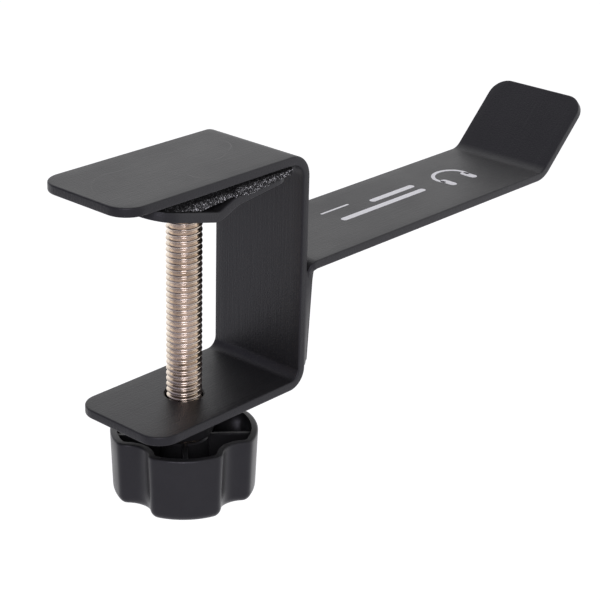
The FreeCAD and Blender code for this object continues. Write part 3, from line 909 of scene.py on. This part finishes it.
# ---------------------------------------------------------------- pad
def make_pad():
    """Die-cut foam strip with ragged sides, thin where the plate presses."""
    bm = bmesh.new()
    step = 0.35
    along = int((PAD_BACK_END - PAD_FREE_END) / step)
    across = 100
    deep = 12

    def bottom(x):
        if PAD_BULGE_START < x < PAD_BULGE_END:
            share = (x - PAD_BULGE_START) / (PAD_BULGE_END - PAD_BULGE_START)
            return max(plate_top(x) + PAD_GAP, -PAD_BULGE * (1 - share) - 0.2 * share)
        return min(max(plate_top(x) + PAD_GAP, 0.0), PAD_THICKNESS - PAD_THINNEST)

    def point(i, j, k):
        x = PAD_FREE_END + (PAD_BACK_END - PAD_FREE_END) * i / along
        y = PAD_HALF_WIDTH * (2 * j / across - 1)
        z = bottom(x) + (PAD_THICKNESS - bottom(x)) * k / deep
        coarse = noise.noise(Vector((x * 0.5, y * 0.5, z * 0.5)))
        fine = noise.noise(Vector((x * 2.3, y * 2.3, z * 2.3 + 7.0)))
        ragged = 0.28 * coarse + 0.22 * fine - 0.15
        if j in (0, across):
            y += math.copysign(ragged, y) if j else -ragged
        if i in (0, along):
            x += -ragged if i == 0 else ragged
        if k == 0:
            z += 0.12 + 0.12 * fine
        return (x, y, z)

    def rim_point(i, j, k):
        """The side of the pad where the plate's wing squeezes it out: down over the edge and back up."""
        x, y, z = point(i, j, k)
        squeeze = min(max((x - 3.0) / 6.0, 0.0), 1.0) * min(max((PAD_BACK_END - x) / 2.0, 0.3), 1.0)
        if squeeze == 0.0:
            return (x, y, z)
        torn = noise.noise(Vector((x * 1.7, 3.0, 0.0))) + 0.7 * noise.noise(Vector((x * 4.1, 9.0, 0.0)))
        drop = PAD_RIM_DROP * squeeze * (1.0 + 0.45 * torn)
        low = bottom(x) - drop
        share = max(k - 2, 0) / (deep - 2)
        crumb = 0.3 * noise.noise(Vector((x * 3.1, z * 3.1 + k, 5.0)))
        out = STRIP_HALF + 0.08 + PAD_RIM_REACH * squeeze * math.sin(math.pi * min(0.25 + share, 1.0)) + crumb
        if k == 0:
            return (x, math.copysign(STRIP_HALF + 0.06, y), bottom(x) + 0.05)
        if k == 1:
            return (x, math.copysign(STRIP_HALF + 0.10, y), low + 0.1)
        if k == deep:
            return (x, math.copysign(PAD_HALF_WIDTH, y), z)
        return (x, math.copysign(max(out, STRIP_HALF + 0.08), y), low + (PAD_THICKNESS - 0.5 - low) * share)

    grid = {}

    def vertex(i, j, k):
        if (i, j, k) not in grid:
            place = rim_point(i, j, k) if j in (0, across) else point(i, j, k)
            grid[i, j, k] = bm.verts.new(place)
        return grid[i, j, k]

    def quad(*corners):
        bm.faces.new([vertex(*corner) for corner in corners])

    for i in range(along):
        for j in range(across):
            for k in (0, deep):
                quad((i, j, k), (i + 1, j, k), (i + 1, j + 1, k), (i, j + 1, k))
        for k in range(deep):
            for j in (0, across):
                quad((i, j, k), (i + 1, j, k), (i + 1, j, k + 1), (i, j, k + 1))
    for j in range(across):
        for k in range(deep):
            for i in (0, along):
                quad((i, j, k), (i, j + 1, k), (i, j + 1, k + 1), (i, j, k + 1))
    piece = link("foam_pad", bm, "frame", ["arm_pad"])
    set_material(piece, foam)


# ---------------------------------------------------------------- print
def white_ink(name):
    """Screen-printed ink, slightly worn through to the coat."""
    n = Nodes(name)
    place = n.add("ShaderNodeTexCoord")
    wear = n.noise(place, "Object", 900.0, 4.0, 0.7)
    tone = n.ramp(wear, "Fac", [(0.24, grey(0.35)), (0.34, grey(0.92)), (0.6, grey(0.97))])
    n.join(tone, "Color", n.shader, "Base Color")
    n.shader.inputs["Roughness"].default_value = 0.55
    return n.material


def ink_band(bm, line, width):
    """A flat band of ink with round ends along a line of (x, y) points in millimetres."""
    points = [Vector(p) for p in line]
    height = HOOK_TOP + INK_LIFT
    half = width / 2
    first = (points[1] - points[0]).normalized()
    final = (points[-1] - points[-2]).normalized()
    left = []
    right = []
    for i, point in enumerate(points):
        heading = (points[min(i + 1, len(points) - 1)] - points[max(i - 1, 0)]).normalized()
        normal = Vector((-heading.y, heading.x)) * half
        left.append(point + normal)
        right.append(point - normal)

    def round_end(centre, heading):
        normal = Vector((-heading.y, heading.x))
        turns = arc_steps(0, 180, INK_END_POINTS + 1)[1:-1]
        return [centre + (normal * math.cos(a) + heading * math.sin(a)) * half for a in turns]

    outline = left + round_end(points[-1], final) + list(reversed(right))
    outline += [2 * points[0] - p for p in round_end(points[0], first)]
    lower = [bm.verts.new((p.x, p.y, height - INK_THICKNESS)) for p in outline]
    upper = [bm.verts.new((p.x, p.y, height)) for p in outline]
    bridge(bm, lower, upper)
    strip = len(left)
    opposite = 2 * strip + INK_END_POINTS - 1
    for ring in (lower, upper):
        for i in range(strip - 1):
            bm.faces.new([ring[i], ring[i + 1], ring[opposite - 1 - i], ring[opposite - i]])
        bm.faces.new(ring[strip - 1:strip + INK_END_POINTS + 1])
        bm.faces.new([ring[0]] + list(reversed(ring[opposite:])))


def make_print():
    """A headphone pictogram and plain rules in place of any lettering."""
    bm = bmesh.new()
    x, y = PRINT_MARK
    half_width, rise = PRINT_BAND
    band = [(x + half_width * math.cos(a), y + rise * math.sin(a)) for a in arc_steps(200, -20, 28)]
    ink_band(bm, band, 1.5)
    for side in (-1.0, 1.0):
        cup = x + side * PRINT_CUP_OFFSET
        ink_band(bm, [(cup, y - 5.6), (cup, y - 1.6)], 3.2)
    for start, end, y, width in PRINT_RULES:
        ink_band(bm, [(start, y), (end, y)], width)
    piece = link("printed_mark", bm, "frame")
    sharpen(piece, 30)
    set_material(piece, white_ink("white_ink"))


make_print()
make_bracket()
make_hook()
make_plate()
make_nut()
weld_bead("weld_bead_top", (BACK_X + 0.9, -17.5, HOOK_TOP - 1.6), (BACK_X + 0.9, 17.5, HOOK_TOP - 1.6),
          0.9, 1.0, ["flange_welds"])
weld_bead("weld_bead_low", (BACK_X + 0.6, -15.5, FLANGE_END - 0.5), (BACK_X + 0.6, 15.5, FLANGE_END - 0.5),
          1.2, 4.0)
make_side_fillet("weld_side_far", 1.0)
make_side_fillet("weld_side_near", -1.0)
for number in range(3):
    bearing = math.radians(120 * number)
    middle = Vector((math.cos(bearing), math.sin(bearing), 0.0)) * (NUT_ACROSS_FLATS / 2 + 0.4)
    tangent = Vector((-math.sin(bearing), math.cos(bearing), 0.0)) * 3.0
    height = Vector((0.0, 0.0, FOOT_BOTTOM - 0.4))
    weld_bead("nut_tack_%d" % (number + 1), middle - tangent + height, middle + tangent + height,
              1.1, 8.0 + number, ["nut_welds"] if number == 0 else ())
make_screw()
make_washer()
make_knob()
make_cap()
make_pad()


# ---------------------------------------------------------------- camera, floor and light
def make_camera():
    """The camera at the photograph's viewing angle."""
    camera = bpy.data.cameras.new("camera")
    camera.sensor_width = 36.0
    camera.lens = CAMERA_LENS
    camera.clip_end = 50.0
    item = bpy.data.objects.new("camera", camera)
    azimuth = math.radians(CAMERA_AZIMUTH)
    elevation = math.radians(CAMERA_ELEVATION)
    roll = math.radians(CAMERA_ROLL)
    back = Vector((math.sin(azimuth) * math.cos(elevation), -math.cos(azimuth) * math.cos(elevation),
                   math.sin(elevation)))
    right = Vector((math.cos(azimuth), math.sin(azimuth), 0.0))
    up = back.cross(right)
    rolled_right = right * math.cos(roll) + up * math.sin(roll)
    rolled_up = up * math.cos(roll) - right * math.sin(roll)
    axes = Matrix((rolled_right, rolled_up, back)).transposed().to_4x4()
    item.matrix_world = Matrix.Translation(CAMERA_PLACE) @ axes
    bpy.context.scene.collection.objects.link(item)
    bpy.context.scene.camera = item


def make_key():
    """A soft box on the near left, above the camera."""
    light = bpy.data.lights.new("key", "AREA")
    light.shape = "DISK"
    light.size = KEY_SIZE
    light.energy = KEY_POWER
    light.color = KEY_COLOUR
    item = bpy.data.objects.new("key", light)
    place = Vector(KEY_PLACE)
    item.location = place
    item.rotation_euler = (Vector(KEY_TARGET) - place).to_track_quat("-Z", "Y").to_euler()
    bpy.context.scene.collection.objects.link(item)


def make_floor():
    """A pale floor that gives off less light towards the near left, where the studio is darker."""
    bm = bmesh.new()
    bmesh.ops.create_circle(bm, cap_ends=True, segments=96, radius=FLOOR_RADIUS)
    mesh = bpy.data.meshes.new("floor")
    bm.to_mesh(mesh)
    bm.free()
    floor = bpy.data.objects.new("floor", mesh)
    floor.location = (0.0, 0.0, FLOOR_HEIGHT)
    bpy.context.scene.collection.objects.link(floor)
    n = Nodes("floor")
    place = n.add("ShaderNodeTexCoord")
    slant = n.add("ShaderNodeVectorMath", operation="DOT_PRODUCT")
    slant.inputs[1].default_value = (0.7, 0.7, 0.0)
    n.join(place, "Object", slant, 0)
    share = n.scaled(slant, "Value", 0.0, 1.0, -0.1, 0.38)
    glow = n.ramp(share, "Result", [(0.0, FLOOR_NEAR), (1.0, grey(FLOOR_FAR))])
    n.join(glow, "Color", n.shader, "Emission Color")
    n.shader.inputs["Base Color"].default_value = grey(0.5)
    n.shader.inputs["Roughness"].default_value = 0.9
    n.shader.inputs["Specular IOR Level"].default_value = 0.0
    n.shader.inputs["Emission Strength"].default_value = 1.0
    floor.data.materials.append(n.material)


def make_world():
    """White studio, darker on the left of the clamp and overhead on the near side."""
    world = bpy.data.worlds.new("studio")
    world.use_nodes = True
    tree = world.node_tree
    background = tree.nodes["Background"]
    place = tree.nodes.new("ShaderNodeTexCoord")
    parts = tree.nodes.new("ShaderNodeSeparateXYZ")
    level = tree.nodes.new("ShaderNodeMapRange")
    level.inputs["From Min"].default_value = -0.40
    level.inputs["From Max"].default_value = 0.35
    shade = tree.nodes.new("ShaderNodeMix")
    shade.data_type = "RGBA"
    shade.inputs[MIX_A].default_value = WORLD_LEFT
    shade.inputs[MIX_B].default_value = grey(1.0)
    tree.links.new(place.outputs["Generated"], parts.inputs["Vector"])
    tree.links.new(parts.outputs["X"], level.inputs["Value"])
    tree.links.new(level.outputs["Result"], shade.inputs["Factor"])
    flags = []
    for axis, start, end in (("Y", -0.05, -0.30), ("Z", 0.28, 0.50)):
        flag = tree.nodes.new("ShaderNodeMapRange")
        flag.inputs["From Min"].default_value = start
        flag.inputs["From Max"].default_value = end
        tree.links.new(parts.outputs[axis], flag.inputs["Value"])
        flags.append(flag)
    both = tree.nodes.new("ShaderNodeMath")
    both.operation = "MULTIPLY"
    tree.links.new(flags[0].outputs["Result"], both.inputs[0])
    tree.links.new(flags[1].outputs["Result"], both.inputs[1])
    canopy = tree.nodes.new("ShaderNodeMix")
    canopy.data_type = "RGBA"
    canopy.inputs[MIX_B].default_value = WORLD_CANOPY
    tree.links.new(both.outputs["Value"], canopy.inputs["Factor"])
    tree.links.new(shade.outputs[MIX_RESULT], canopy.inputs[MIX_A])
    tree.links.new(canopy.outputs[MIX_RESULT], background.inputs["Color"])
    background.inputs["Strength"].default_value = 1.0
    bpy.context.scene.world = world


make_camera()
make_key()
make_floor()
make_world()

bpy.context.scene.view_settings.view_transform = "Standard"
bpy.context.scene.cycles.use_denoising = True
